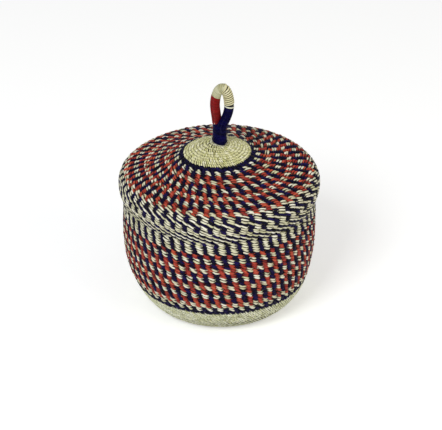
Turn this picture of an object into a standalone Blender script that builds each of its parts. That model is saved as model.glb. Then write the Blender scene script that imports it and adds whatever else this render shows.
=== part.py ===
"""Lidded storage basket of twined grass: a round basket with a neck, and a domed lid with a loop handle.

Metres, +Z up, origin at the centre of the underside, the front at -Y.
The woven walls are plain turned shells here, one for each colour band. The stakes run inside them.
"""

import math

import bmesh
import bpy
from mathutils import Vector

# Basket: its outside from the flat floor up to the ledge that carries the lid
FLOOR_RADIUS = 0.0835
BELLY_RADIUS = 0.129
BELLY_HEIGHT = 0.110
SHOULDER_INSET = 0.001  # of the wall's top, in from the belly
LEDGE_HEIGHT = 0.1527
WALL_THICKNESS = 0.005
BASE_TURN_HEIGHT = 0.0165  # up to the row where more stakes join
BASE_BAND_HEIGHT = 0.0366
BASE_RING_HEIGHT = 0.0062
STRIPE_BAND_HEIGHT = 0.0177
LEDGE_DEPTH = 0.0045  # from the ledge down to the wall that turns in under it
BELLY_ROUNDNESS_SHARES = (2.2, 1.65)  # powers of the curve from floor to belly: over height, over radius

# Neck: the part of the basket that the lid slips over
NECK_HEIGHT = 0.0192
NECK_THICKNESS = 0.0045
RIM_HEIGHT = 0.004
RIM_OVERHANG = 0.001  # inwards
LID_CLEARANCE = 0.0012  # between the neck and the lid's skirt, all round

# Lid: its outside from the crown to the edge
LID_OVERHANG = 0.006  # of its widest line over its edge
LID_DOME_HEIGHT = 0.058  # crown above the widest line
LID_SKIRT_HEIGHT = 0.0225  # widest line above the edge
LID_THICKNESS = 0.005
CROWN_DISC_WIDTH = 0.046  # bands measured along the surface, from the middle outwards
LID_RING_WIDTH = 0.0072
SHOULDER_BAND_WIDTH = 0.0173
SKIRT_BAND_WIDTH = 0.0104
EDGE_BORDER_WIDTH = 0.0138
DOME_SHARES = (  # of the lid's radius, of the dome's height
    (0.0, 1.0),
    (0.080, 0.989),
    (0.187, 0.922),
    (0.325, 0.768),
    (0.390, 0.691),
    (0.497, 0.590),
    (0.593, 0.508),
    (0.693, 0.438),
    (0.805, 0.385),
    (0.915, 0.315),
    (0.960, 0.240),
    (0.987, 0.150),
    (1.0, 0.0),
)
SKIRT_SHARES = ((0.28, 0.467), (1.0, 1.0))  # of the overhang inwards, of the skirt's height down

# Handle: a grass rod bent into a loop, its two legs bound together into one stem
STEM_HEIGHT = 0.024  # above the crown
STEM_HALF_THICKNESS = 0.0062  # across the two legs
ROOT_DEPTH = 0.010  # of the stem below the lid's wall
LEG_RISE = 0.0464  # from the stem's top to where the bow starts
LOOP_WIDTH = 0.0176  # between the two legs' middles
LOOP_LEAN = 0.0042  # of the loop's middle, to the right of the stem
LEG_STAGGER = 0.005  # each leg's foot before or behind the loop's plane
LEG_RADIUS = 0.0044
SLEEVE_THICKNESS = 0.0011
LEFT_LEG_SHARES = (  # of half the loop's width, of the stagger, of the legs' rise
    (-0.795, 1.0, -0.012),
    (-0.795, 1.0, 0.0),
    (-0.800, 0.99, 0.045),
    (-0.850, 0.74, 0.180),
    (-0.965, 0.24, 0.400),
    (-1.01, 0.0, 0.570),
    (-1.01, 0.0, 0.800),
)
RIGHT_LEG_SHARES = (
    (1.0, 0.0, 0.800),
    (0.985, 0.0, 0.615),
    (0.815, -0.16, 0.420),
    (0.450, -0.62, 0.226),
    (0.110, -0.93, 0.110),
    (-0.035, -1.0, 0.045),
    (-0.045, -1.0, 0.0),
    (-0.045, -1.0, -0.012),
)
RED_WRAP_TOP = 0.0425  # above the stem's top, up the left leg
NAVY_WRAP_TOP = 0.0255  # above the stem's top, up the right leg
SLEEVE_START = 0.0006  # of the legs' sleeves above the stem's top
THIN_BAND_WIDTH = 0.0017
DARK_SLIT_WIDTH = 0.0011  # bare rod between the thin band and the coarse wrap
COARSE_START_SHARE = 0.5  # of the bow, from its left end

# Windings: one strand each, round the stem and round the right half of the bow
STEM_TURNS = 8
STEM_STRAND_HEIGHT = 0.0014  # out from the rod
STEM_FOOT_FLARE = 0.0009  # of the lowest turn
COARSE_TURNS = 9
COARSE_STRAND_HEIGHT = 0.0017
STRAND_GAP = 0.00055  # between one turn and the next
LASHING_TURNS = 3
LASHING_STRAND_HEIGHT = 0.0018

# Fits and fineness
CLEARANCE = 0.0003  # between pieces that touch
MERGE_DISTANCE = 0.00002
SHARP_ANGLE = math.radians(35)
WALL_SEGMENTS = 48
SLEEVE_SIDES = 12
STRAND_SIDES = 6
TURN_STEPS = 24
BAND_STEPS = 5  # along the profile of a wide band
CROWN_STEPS = 3
BOW_STEPS = 8
LOOP_STEPS = 2  # between two points of the loop's middle line
PROFILE_STEPS = 120
OUTLINE_STEPS = 12  # between two points of the lid's outline

# Colours: base colour, roughness
NATURAL = ((0.62, 0.59, 0.33), 0.7)
CREAM = ((0.68, 0.65, 0.42), 0.65)
NAVY = ((0.012, 0.010, 0.085), 0.6)
CRIMSON = ((0.37, 0.012, 0.012), 0.5)
CHECKED = ((0.45, 0.045, 0.03), 0.65)
STRIPED = ((0.33, 0.31, 0.24), 0.65)
GRASS = ((0.45, 0.38, 0.18), 0.75)

HALF = 0.5

SHOULDER_RADIUS = BELLY_RADIUS - SHOULDER_INSET
NECK_RADIUS = SHOULDER_RADIUS - LID_THICKNESS - LID_CLEARANCE
NECK_INNER_RADIUS = NECK_RADIUS - NECK_THICKNESS
LID_EDGE_HEIGHT = LEDGE_HEIGHT + CLEARANCE
LID_RADIUS = SHOULDER_RADIUS + LID_OVERHANG
WIDEST_HEIGHT = LID_EDGE_HEIGHT + LID_SKIRT_HEIGHT
CROWN_HEIGHT = WIDEST_HEIGHT + LID_DOME_HEIGHT
STEM_TOP = CROWN_HEIGHT + STEM_HEIGHT
BOW_RADIUS = LOOP_WIDTH * HALF
BOW_HEIGHT = STEM_TOP + LEG_RISE
SLEEVE_RADIUS = LEG_RADIUS + CLEARANCE + SLEEVE_THICKNESS


def clear_scene():
    for thing in list(bpy.data.objects):
        bpy.data.objects.remove(thing, do_unlink=True)


def material(name, look):
    colour, roughness = look
    made = bpy.data.materials.new(name)
    made.use_nodes = True
    shader = made.node_tree.nodes["Principled BSDF"]
    shader.inputs["Base Color"].default_value = (*colour, 1.0)
    shader.inputs["Roughness"].default_value = roughness
    shader.inputs["Metallic"].default_value = 0.0
    made.diffuse_color = (*colour, 1.0)
    return made


def add_object(name, mesh, look):
    thing = bpy.data.objects.new(name, mesh)
    bpy.context.scene.collection.objects.link(thing)
    mesh.materials.append(material(name, look))
    mesh.shade_smooth()
    mesh.set_sharp_from_angle(angle=SHARP_ANGLE)
    return thing


def mesh_from(name, form):
    bmesh.ops.recalc_face_normals(form, faces=form.faces)
    mesh = bpy.data.meshes.new(name)
    form.to_mesh(mesh)
    form.free()
    return mesh


def turned(name, outline, look):
    """A closed outline of (radius, height) points turned about Z. Points at radius 0 meet on the axis."""
    form = bmesh.new()
    corners = [form.verts.new((radius, 0.0, height)) for radius, height in outline]
    on_axis = outline[0][0] == 0.0 and outline[-1][0] == 0.0
    sides = list(zip(corners, corners[1:]))
    if not on_axis:
        sides.append((corners[-1], corners[0]))
    edges = [form.edges.new(side) for side in sides]
    bmesh.ops.spin(
        form,
        geom=corners + edges,
        cent=(0, 0, 0),
        axis=(0, 0, 1),
        angle=math.tau,
        steps=WALL_SEGMENTS,
        use_merge=False,
    )
    bmesh.ops.remove_doubles(form, verts=form.verts, dist=MERGE_DISTANCE)
    return add_object(name, mesh_from(name, form), look)


def lofted(name, rings, look, closed=False):
    """Rings of as many points each, joined one to the next.

    closed joins the last to the first. Else both ends are capped.
    """
    form = bmesh.new()
    loops = [[form.verts.new(point) for point in ring] for ring in rings]
    pairs = list(zip(loops, loops[1:]))
    if closed:
        pairs.append((loops[-1], loops[0]))
    for low, high in pairs:
        for here in range(len(low)):
            there = (here + 1) % len(low)
            form.faces.new((low[here], low[there], high[there], high[here]))
    if not closed:
        form.faces.new(loops[0])
        form.faces.new(loops[-1])
    return add_object(name, mesh_from(name, form), look)


def smooth_curve(points, steps):
    """Catmull-Rom through the points, steps pieces between each two."""
    points = [Vector(point) for point in points]
    padded = [points[0] * 2 - points[1], *points, points[-1] * 2 - points[-2]]
    curve = []
    for before, start, end, after in zip(padded, padded[1:], padded[2:], padded[3:]):
        for step in range(steps):
            part = step / steps
            curve.append(
                HALF
                * (
                    start * 2
                    + (end - before) * part
                    + (before * 2 - start * 5 + end * 4 - after) * part**2
                    + (start * 3 - before - end * 3 + after) * part**3
                )
            )
    curve.append(points[-1])
    return curve


class Line:
    """A run of points, read by the length along it."""

    def __init__(self, points):
        self.points = points
        self.lengths = [0.0]
        for first, second in zip(points, points[1:]):
            self.lengths.append(self.lengths[-1] + (second - first).length)
        self.length = self.lengths[-1]

    def span(self, along):
        last = len(self.points) - 2
        found = 0
        while found < last and self.lengths[found + 1] < along:
            found += 1
        return found

    def at(self, along):
        here = self.span(along)
        part = (along - self.lengths[here]) / (self.lengths[here + 1] - self.lengths[here])
        return self.points[here].lerp(self.points[here + 1], part)

    def direction(self, along):
        """Its heading, evened over a short stretch both ways."""
        reach = CLEARANCE
        ahead, behind = min(along + reach, self.length), max(along - reach, 0.0)
        return (self.at(ahead) - self.at(behind)).normalized()

    def reaches(self, axis, value):
        """The length along it at which a coordinate first passes a value, upwards or downwards."""
        for first, second, along in zip(self.points, self.points[1:], self.lengths):
            if (first[axis] - value) * (second[axis] - value) <= 0 and first[axis] != second[axis]:
                part = (value - first[axis]) / (second[axis] - first[axis])
                return along + part * (second - first).length
        raise ValueError("the line never reaches that value")


def inward(line, along, depth, side):
    """The point at a depth under a profile. side is 1 where the wall lies left of its heading, else -1."""
    heading = line.direction(along)
    return line.at(along) + Vector((-heading.y, heading.x)) * depth * side


def shell_outline(line, start, end, thickness, side, steps):
    """The closed outline of a wall under a stretch of its profile."""
    stops = [start + (end - start) * step / steps for step in range(steps + 1)]
    outside = [line.at(stop) for stop in stops]
    inside = [inward(line, stop, thickness, side) for stop in reversed(stops)]
    return [tuple(point) for point in outside + inside]


def basket_profile():
    """The basket's outside from the floor's edge up to the ledge."""
    height_power, radius_power = BELLY_ROUNDNESS_SHARES
    points = []
    for step in range(PROFILE_STEPS):
        turn = math.pi * HALF * step / PROFILE_STEPS
        rise = 1 - math.cos(turn) ** (2 / height_power)
        spread = math.sin(turn) ** (2 / radius_power)
        points.append(Vector((FLOOR_RADIUS + (BELLY_RADIUS - FLOOR_RADIUS) * spread, BELLY_HEIGHT * rise)))
    for step in range(PROFILE_STEPS + 1):
        part = step / PROFILE_STEPS
        radius = BELLY_RADIUS + (SHOULDER_RADIUS - BELLY_RADIUS) * part**2
        points.append(Vector((radius, BELLY_HEIGHT + (LEDGE_HEIGHT - BELLY_HEIGHT) * part)))
    return Line(points)


def lid_profile():
    """The lid's outside from the crown's middle down to the edge."""
    points = [(radius * LID_RADIUS, WIDEST_HEIGHT + rise * LID_DOME_HEIGHT) for radius, rise in DOME_SHARES]
    for inset, drop in SKIRT_SHARES:
        points.append((LID_RADIUS - inset * LID_OVERHANG, WIDEST_HEIGHT - drop * LID_SKIRT_HEIGHT))
    return Line(smooth_curve(points, OUTLINE_STEPS))


def make_basket():
    profile = basket_profile()
    half_gap = CLEARANCE * HALF

    def band(name, low, high, look, steps):
        outline = shell_outline(profile, low + half_gap, high - half_gap, WALL_THICKNESS, 1, steps)
        turned(name, outline, look)

    turn_top = profile.reaches(1, BASE_TURN_HEIGHT)
    base_top = profile.reaches(1, BASE_BAND_HEIGHT)
    ring_top = profile.reaches(1, BASE_BAND_HEIGHT + BASE_RING_HEIGHT)
    side_top = profile.reaches(1, LEDGE_HEIGHT - STRIPE_BAND_HEIGHT)

    edge = FLOOR_RADIUS - half_gap
    top = WALL_THICKNESS
    turned("basket_floor", [(0.0, 0.0), (edge, 0.0), (edge, top), (0.0, top)], NATURAL)
    band("basket_base_turn", 0.0, turn_top, NATURAL, BAND_STEPS - 1)
    band("basket_base_wall", turn_top, base_top, NATURAL, BAND_STEPS - 2)
    band("basket_base_ring", base_top, ring_top, NAVY, 1)
    band("basket_side", ring_top, side_top, CHECKED, BAND_STEPS)

    # The striped band ends in the ledge, which reaches in as far as the neck does
    low = side_top + half_gap
    turn_in = LEDGE_HEIGHT - LEDGE_DEPTH
    foot = inward(profile, low, WALL_THICKNESS, 1)
    outline = [
        tuple(profile.at(low)),
        (SHOULDER_RADIUS, LEDGE_HEIGHT),
        (NECK_INNER_RADIUS, LEDGE_HEIGHT),
        (SHOULDER_RADIUS - WALL_THICKNESS, turn_in),
        tuple(foot),
    ]
    turned("basket_stripe_band", outline, STRIPED)

    neck_low = LEDGE_HEIGHT + CLEARANCE
    neck_top = LEDGE_HEIGHT + NECK_HEIGHT - RIM_HEIGHT
    outline = [
        (NECK_RADIUS, neck_low),
        (NECK_RADIUS, neck_top),
        (NECK_INNER_RADIUS, neck_top),
        (NECK_INNER_RADIUS, neck_low),
    ]
    turned("basket_neck", outline, STRIPED)
    rim_low = neck_top + CLEARANCE
    rim_top = LEDGE_HEIGHT + NECK_HEIGHT
    rim_round = (rim_top - rim_low) * HALF
    rim_middle = rim_low + rim_round
    outline = [
        (NECK_RADIUS, rim_low),
        (NECK_RADIUS, rim_middle),
        (NECK_RADIUS - rim_round, rim_top),
        (NECK_INNER_RADIUS + rim_round - RIM_OVERHANG, rim_top),
        (NECK_INNER_RADIUS - RIM_OVERHANG, rim_middle),
        (NECK_INNER_RADIUS, rim_low),
    ]
    turned("basket_rim", outline, CREAM)


def make_lid(profile, stem):
    half_gap = CLEARANCE * HALF
    ring_end = CROWN_DISC_WIDTH + LID_RING_WIDTH
    border_start = profile.length - EDGE_BORDER_WIDTH
    skirt_start = border_start - SKIRT_BAND_WIDTH
    shoulder_start = skirt_start - SHOULDER_BAND_WIDTH

    def band(name, start, end, look, steps):
        outline = shell_outline(profile, start + half_gap, end - half_gap, LID_THICKNESS, -1, steps)
        turned(name, outline, look)

    make_crown(profile, stem, CROWN_DISC_WIDTH - half_gap)
    band("lid_ring", CROWN_DISC_WIDTH, ring_end, NAVY, 1)
    band("lid_dome", ring_end, shoulder_start, CHECKED, BAND_STEPS)
    band("lid_shoulder_band", shoulder_start, skirt_start, STRIPED, BAND_STEPS - 1)
    band("lid_skirt_band", skirt_start, border_start, STRIPED, 2)

    # The border ends flat where it rests on the ledge
    outline = shell_outline(profile, border_start + half_gap, profile.length, LID_THICKNESS, -1, 2)
    edge_inside = (SHOULDER_RADIUS - LID_THICKNESS, LID_EDGE_HEIGHT)
    outline[len(outline) // 2] = edge_inside
    turned("lid_edge_border", outline, STRIPED)


def make_crown(profile, stem, end):
    """The natural disc, open in the middle for the oval stem."""
    outer_radius = profile.at(end).x
    angles = [math.tau * step / WALL_SEGMENTS for step in range(WALL_SEGMENTS)]

    def ring(part, depth):
        points = []
        for angle in angles:
            hole = stem.outline(angle - stem.turn, CLEARANCE)
            rim = Vector((math.cos(angle), math.sin(angle))) * outer_radius
            place = hole.lerp(rim, part)
            along = profile.reaches(0, place.length) if part < 1 else end
            point = inward(profile, along, depth, -1)
            flat = place.normalized() * (point.x if part > 0 else place.length)
            points.append((flat.x, flat.y, point.y))
        return points

    parts = [step / CROWN_STEPS for step in range(CROWN_STEPS + 1)]
    rings = [ring(part, 0.0) for part in parts] + [ring(part, LID_THICKNESS) for part in reversed(parts)]
    lofted("lid_crown", rings, NATURAL, closed=True)


class Stem:
    """The oval outline of the two legs' feet bound side by side."""

    def __init__(self, left_foot, right_foot):
        self.middle = (left_foot + right_foot) * HALF
        across = right_foot - left_foot
        self.turn = math.atan2(across.y, across.x)
        self.long = across.length * HALF + LEG_RADIUS
        self.short = STEM_HALF_THICKNESS

    def outline(self, angle, extra=0.0):
        """A point of the oval, grown by extra, at an angle counted from its long axis."""
        along, over = (self.long + extra) * math.cos(angle), (self.short + extra) * math.sin(angle)
        return Vector(
            (
                self.middle.x + along * math.cos(self.turn) - over * math.sin(self.turn),
                self.middle.y + along * math.sin(self.turn) + over * math.cos(self.turn),
            )
        )


def loop_line():
    """The rod's middle, from the left leg's foot over the bow to the right leg's foot."""

    def leg(shares):
        return [
            Vector((LOOP_LEAN + across * BOW_RADIUS, before * LEG_STAGGER, STEM_TOP + rise * LEG_RISE))
            for across, before, rise in shares
        ]

    bow = []
    for step in range(BOW_STEPS + 1):
        turn = math.pi * step / BOW_STEPS
        across, rise = -math.cos(turn), math.sin(turn)
        bow.append(Vector((LOOP_LEAN + across * BOW_RADIUS, 0.0, BOW_HEIGHT + rise * BOW_RADIUS)))
    return Line(smooth_curve(leg(LEFT_LEG_SHARES) + bow + leg(RIGHT_LEG_SHARES), LOOP_STEPS))


def frame_at(line, along):
    """Two directions square to the line: out from the loop in its plane, and across that plane."""
    heading = line.direction(along)
    outwards = Vector((0, 1, 0)).cross(heading).normalized()
    return outwards, heading.cross(outwards)


def round_ring(line, along, radius):
    middle = line.at(along)
    outwards, across = frame_at(line, along)
    return [
        middle
        + outwards * radius * math.cos(math.tau * side / SLEEVE_SIDES)
        + across * radius * math.sin(math.tau * side / SLEEVE_SIDES)
        for side in range(SLEEVE_SIDES)
    ]


def sleeve(name, line, start, end, look):
    """A wrap too fine to show its turns: a hollow tube round the rod."""
    margin = CLEARANCE
    stops = [start, *(stop for stop in line.lengths if start + margin < stop < end - margin), end]
    inner = LEG_RADIUS + CLEARANCE
    rings = [round_ring(line, stop, SLEEVE_RADIUS) for stop in stops]
    rings += [round_ring(line, stop, inner) for stop in reversed(stops)]
    lofted(name, rings, look, closed=True)


def strand(name, middles, ups, half_widths, height, look):
    """One unbroken flattened strand along the middles. ups point away from what it is wound on."""
    rings = []
    last = len(middles) - 1
    for here, (middle, up, half_width) in enumerate(zip(middles, ups, half_widths)):
        heading = (middles[min(here + 1, last)] - middles[max(here - 1, 0)]).normalized()
        side = heading.cross(up).normalized()
        rise = side.cross(heading).normalized()
        ring = []
        for corner in range(STRAND_SIDES):
            turn = math.tau * (corner + HALF) / STRAND_SIDES
            ring.append(middle + rise * height * HALF * math.sin(turn) + side * half_width * math.cos(turn))
        rings.append(ring)
    lofted(name, rings, look)
    report_gap(name, rings)


def report_gap(name, rings):
    """Prints the least gap between one turn's points and the next turn's."""
    least = math.inf
    for here, ring in enumerate(rings):
        for other in rings[here + TURN_STEPS // 2 :]:
            for point in ring:
                least = min(least, min((point - near).length for near in other))
    print(f"{name}: least gap to itself {least * 1000:.2f} mm")


def stem_winding(name, stem, top, bottom, turns, height, flare, look):
    """A strand wound round the oval stem from top to bottom. The lowest turn stands out by flare."""
    total = turns * TURN_STEPS
    pitch = (top - bottom) / (turns + 1)
    middles, ups, widths = [], [], []
    for step in range(total + 1):
        done = step / total
        angle = math.tau * step / TURN_STEPS
        stand_off = CLEARANCE + height * HALF + flare * done ** (turns / 2)
        flat = stem.outline(angle, stand_off)
        out = stem.outline(angle, stand_off + height) - flat
        middles.append(Vector((flat.x, flat.y, top - pitch * (HALF + turns * done))))
        ups.append(Vector((out.x, out.y, 0.0)).normalized())
        widths.append((pitch - STRAND_GAP) * HALF)
    strand(name, middles, ups, widths, height, look)


def coarse_winding(name, line, start, end, look):
    """A strand wound round the bow, as wide as its pitch leaves it: narrow inside the bow, wide outside."""
    total = COARSE_TURNS * TURN_STEPS
    stand_off = LEG_RADIUS + CLEARANCE + COARSE_STRAND_HEIGHT * HALF
    run = end - start
    pitch = run / (COARSE_TURNS + 1)
    middles, ups = [], []
    for step in range(total + 1):
        along = start + pitch * (HALF + COARSE_TURNS * step / total)
        outwards, across = frame_at(line, along)
        turn = math.tau * step / TURN_STEPS
        up = outwards * math.cos(turn) + across * math.sin(turn)
        middles.append(line.at(along) + up * stand_off)
        ups.append(up)
    widths = []
    for step in range(total + 1):
        near = [other for other in (step - TURN_STEPS, step + TURN_STEPS) if 0 <= other <= total]
        pitch_here = min((middles[step] - middles[other]).length for other in near)
        widths.append((pitch_here - STRAND_GAP) * HALF)
    strand(name, middles, ups, widths, COARSE_STRAND_HEIGHT, look)


def make_core(line, stem, bottom):
    """The rod and the stem that its two ends are bound into, as one body."""
    rod = lofted("handle_core", [round_ring(line, stop, LEG_RADIUS) for stop in line.lengths], GRASS)
    corners = [math.tau * step / TURN_STEPS for step in range(TURN_STEPS)]
    rings = [[(*stem.outline(angle), height) for angle in corners] for height in (bottom, STEM_TOP)]
    post = lofted("stem_post", rings, GRASS)
    join = rod.modifiers.new("stem", "BOOLEAN")
    join.operation = "UNION"
    join.solver = "EXACT"
    join.object = post
    post.hide_render = True
    post.display_type = "WIRE"


def make_handle(line, stem, lid):
    on_lid = lid.at(lid.reaches(0, stem.short)).y
    lashing_reach = stem.long + CLEARANCE + LASHING_STRAND_HEIGHT
    under_lid = inward(lid, lid.reaches(0, lashing_reach), LID_THICKNESS, -1).y
    make_core(line, stem, under_lid - ROOT_DEPTH)

    backwards = Line(list(reversed(line.points)))
    left_foot = line.reaches(2, STEM_TOP + SLEEVE_START)
    red_top = line.reaches(2, STEM_TOP + RED_WRAP_TOP)
    coarse_start = line.reaches(2, BOW_HEIGHT) + math.pi * BOW_RADIUS * COARSE_START_SHARE
    right_foot = line.length - backwards.reaches(2, STEM_TOP + SLEEVE_START)
    navy_top = line.length - backwards.reaches(2, STEM_TOP + NAVY_WRAP_TOP)
    band_top = navy_top - CLEARANCE - THIN_BAND_WIDTH
    coarse_end = band_top - DARK_SLIT_WIDTH

    sleeve("handle_red_wrap", line, left_foot, red_top, CRIMSON)
    sleeve("handle_fine_cream_wrap", line, red_top + CLEARANCE, coarse_start, CREAM)
    coarse_winding("handle_coarse_cream_wrap", line, coarse_start, coarse_end, CREAM)
    sleeve("handle_thin_band", line, band_top, band_top + THIN_BAND_WIDTH, CREAM)
    sleeve("handle_navy_wrap", line, navy_top, right_foot, NAVY)

    stem_winding(
        "handle_stem_wrap",
        stem,
        STEM_TOP,
        on_lid + CLEARANCE,
        STEM_TURNS,
        STEM_STRAND_HEIGHT,
        STEM_FOOT_FLARE,
        NAVY,
    )
    stem_winding(
        "handle_lashing",
        stem,
        under_lid - CLEARANCE,
        under_lid - ROOT_DEPTH,
        LASHING_TURNS,
        LASHING_STRAND_HEIGHT,
        0.0,
        GRASS,
    )


def main():
    clear_scene()
    line = loop_line()
    stem = Stem(line.points[0], line.points[-1])
    lid = lid_profile()
    make_basket()
    make_lid(lid, stem)
    make_handle(line, stem, lid)


main()
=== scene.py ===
"""Looks of the lidded storage basket: every twined strand, the stakes inside it and the wound handle.

Each row is two strands that pass in turn before and behind the stakes, twisting half a turn in between.
Where every row starts one stake further than the last, the strands line up into long slanted strokes.
Lengths are in millimetres until they become a mesh. The front is at -Y and the right at +X.
"""

import math

import bpy
import numpy as np
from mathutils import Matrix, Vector


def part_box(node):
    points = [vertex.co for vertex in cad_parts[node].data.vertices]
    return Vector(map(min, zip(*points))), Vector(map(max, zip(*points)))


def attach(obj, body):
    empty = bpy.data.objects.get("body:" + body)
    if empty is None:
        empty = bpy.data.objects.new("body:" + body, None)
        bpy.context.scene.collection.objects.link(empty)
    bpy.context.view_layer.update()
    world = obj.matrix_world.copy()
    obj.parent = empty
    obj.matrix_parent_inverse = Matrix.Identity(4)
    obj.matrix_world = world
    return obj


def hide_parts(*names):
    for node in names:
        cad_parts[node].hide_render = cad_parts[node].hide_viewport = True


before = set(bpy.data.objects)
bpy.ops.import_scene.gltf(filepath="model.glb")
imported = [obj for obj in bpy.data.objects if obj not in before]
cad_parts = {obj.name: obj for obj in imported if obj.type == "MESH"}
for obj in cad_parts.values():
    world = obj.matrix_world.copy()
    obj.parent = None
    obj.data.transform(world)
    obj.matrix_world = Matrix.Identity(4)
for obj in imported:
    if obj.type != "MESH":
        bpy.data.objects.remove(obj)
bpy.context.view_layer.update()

MM = 0.001
TAU = math.tau
FRONT = -math.pi / 2
RNG = np.random.default_rng(11)
MOST_TRIANGLES = 190_000


def low(node, axis):
    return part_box(node)[0][axis] / MM


def high(node, axis):
    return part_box(node)[1][axis] / MM


HALF_GAP = 0.15  # on each side of a seam between two solids
FLOOR_RADIUS = high("basket_floor", 0) + HALF_GAP
BELLY_RADIUS = 129.0
BELLY_HEIGHT = 110.0
BELLY_POWERS = (2.2, 1.65)  # of the superellipse from floor to belly: for its height, for its radius
SHOULDER_RADIUS = 128.0
TURN_TOP = high("basket_base_turn", 2)
LEDGE_HEIGHT = high("basket_stripe_band", 2)
STRIPE_BAND = 17.7
NECK_RADIUS = high("basket_neck", 0)
NECK_TOP = high("basket_neck", 2)
RIM_TOP = high("basket_rim", 2)

LID_EDGE = low("lid_edge_border", 2)
LID_RADIUS = high("lid_shoulder_band", 0)
LID_OVERHANG = 6.0
LID_DOME = 58.0
LID_SKIRT = 22.5
LID_THICKNESS = 5.0
DOME_SHARES = (  # of the lid's radius, of the dome's height
    (0.0, 1.0),
    (0.080, 0.989),
    (0.187, 0.922),
    (0.325, 0.768),
    (0.390, 0.691),
    (0.497, 0.590),
    (0.593, 0.508),
    (0.693, 0.438),
    (0.805, 0.385),
    (0.915, 0.315),
    (0.960, 0.240),
    (0.987, 0.150),
    (1.0, 0.0),
)
SKIRT_SHARES = ((0.28, 0.467), (1.0, 1.0))  # of the overhang inwards, of the skirt's height down
WIDEST_HEIGHT = LID_EDGE + LID_SKIRT
CROWN_HEIGHT = WIDEST_HEIGHT + LID_DOME

STEM_HEIGHT = 24.0
STEM_TOP = CROWN_HEIGHT + STEM_HEIGHT
STEM_SHORT = 6.2  # half its depth
ROOT_DEPTH = 10.0
LEG_RADIUS = 4.4
LEG_RISE = 46.4
LEG_STAGGER = 5.0  # of the left foot behind the bow's plane, and of the right foot before it
LOOP_LEAN = 4.2
BOW_RADIUS = 8.8
BOW_SAG = 1.2
BOW_TOP = STEM_TOP + LEG_RISE + BOW_RADIUS - BOW_SAG
BOW_MIDDLE, BOW_HALF, BOW_RISE = 3.7, 9.25, 25.0  # as wound, it is higher than it is wide
LOOP_POINTS, LOOP_PASSES = 300, 24  # of smoothing
LEFT_LEG_SHARES = (  # of the bow's radius, of the stagger, of the leg's rise
    (-0.795, 1.0, -0.012),
    (-0.795, 1.0, 0.0),
    (-0.800, 0.99, 0.045),
    (-0.860, 0.74, 0.180),
    (-1.000, 0.24, 0.400),
)
RIGHT_LEG_SHARES = (
    (0.840, -0.16, 0.420),
    (0.450, -0.62, 0.226),
    (0.110, -0.93, 0.110),
    (-0.035, -1.0, 0.045),
    (-0.045, -1.0, 0.0),
    (-0.045, -1.0, -0.012),
)


def unit(vectors):
    return vectors / np.linalg.norm(vectors, axis=-1, keepdims=True)


def square_to(heading, vectors):
    """Unit vectors, turned so that they stand square to a heading."""
    return unit(vectors - heading * np.sum(vectors * heading, axis=1)[:, None])


def heading_round(middles):
    """The heading along a run of points that closes on itself."""
    return unit(np.roll(middles, -1, axis=0) - np.roll(middles, 1, axis=0))


def heading_along(middles):
    return unit(np.gradient(middles, axis=0))


def rays(theta):
    return np.stack([np.cos(theta), np.sin(theta)], -1)


def level_rays(theta):
    return np.column_stack([rays(theta), np.zeros_like(theta)])


def swept(ray, flat):
    """Points or directions of the (radius, height) plane, swung round to their rays."""
    return np.column_stack([ray * flat[:, :1], flat[:, 1]])


def blunt(wave, power):
    """A wave that a power under 1 keeps near its extremes for longer."""
    return np.sign(wave) * np.abs(wave) ** power


def smooth_curve(points, steps):
    """Catmull-Rom through the points, steps pieces between each two."""
    points = np.asarray(points, float)
    padded = np.vstack([2 * points[0] - points[1], points, 2 * points[-1] - points[-2]])
    part = (np.arange(steps) / steps)[:, None]
    curve = []
    for before, start, end, after in zip(padded, padded[1:], padded[2:], padded[3:]):
        slope = (end - before) * part
        bend = (2 * before - 5 * start + 4 * end - after) * part**2
        turn = (3 * start - before - 3 * end + after) * part**3
        curve.append(0.5 * (2 * start + slope + bend + turn))
    curve.append(points[-1:])
    return np.vstack(curve)


class Line:
    """A run of points in two or three dimensions, read by the length along it."""

    def __init__(self, points):
        points = np.asarray(points, float)
        gaps = np.linalg.norm(np.diff(points, axis=0), axis=1)
        self.points = points[np.concatenate(([True], gaps > 1e-6))]
        gaps = np.linalg.norm(np.diff(self.points, axis=0), axis=1)
        self.lengths = np.concatenate(([0.0], np.cumsum(gaps)))
        self.length = self.lengths[-1]
        self.headings = unit(np.gradient(self.points, self.lengths, axis=0))

    def read(self, rows, along):
        return np.stack([np.interp(along, self.lengths, column) for column in rows.T], -1)

    def at(self, along):
        return self.read(self.points, along)

    def heading(self, along):
        return unit(self.read(self.headings, along))

    def reaches(self, axis, value, last=False):
        """The length at which a coordinate first, or last, passes a value."""
        here = self.points[:, axis] - value
        step = np.nonzero(here[:-1] * here[1:] <= 0)[0][-1 if last else 0]
        part = here[step] / (here[step] - here[step + 1]) if here[step] != here[step + 1] else 0.0
        return self.lengths[step] + part * (self.lengths[step + 1] - self.lengths[step])


class Profile(Line):
    """The outside of a wall in the (radius, height) plane.

    rise is 1 where its length grows upwards, and -1 where it grows downwards.
    """

    def __init__(self, points, rise):
        super().__init__(points)
        self.rise = rise

    def axes(self, along):
        """Up along the wall, and out from it."""
        up = self.heading(along) * self.rise
        return up, np.stack([up[..., 1], -up[..., 0]], -1)


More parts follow.
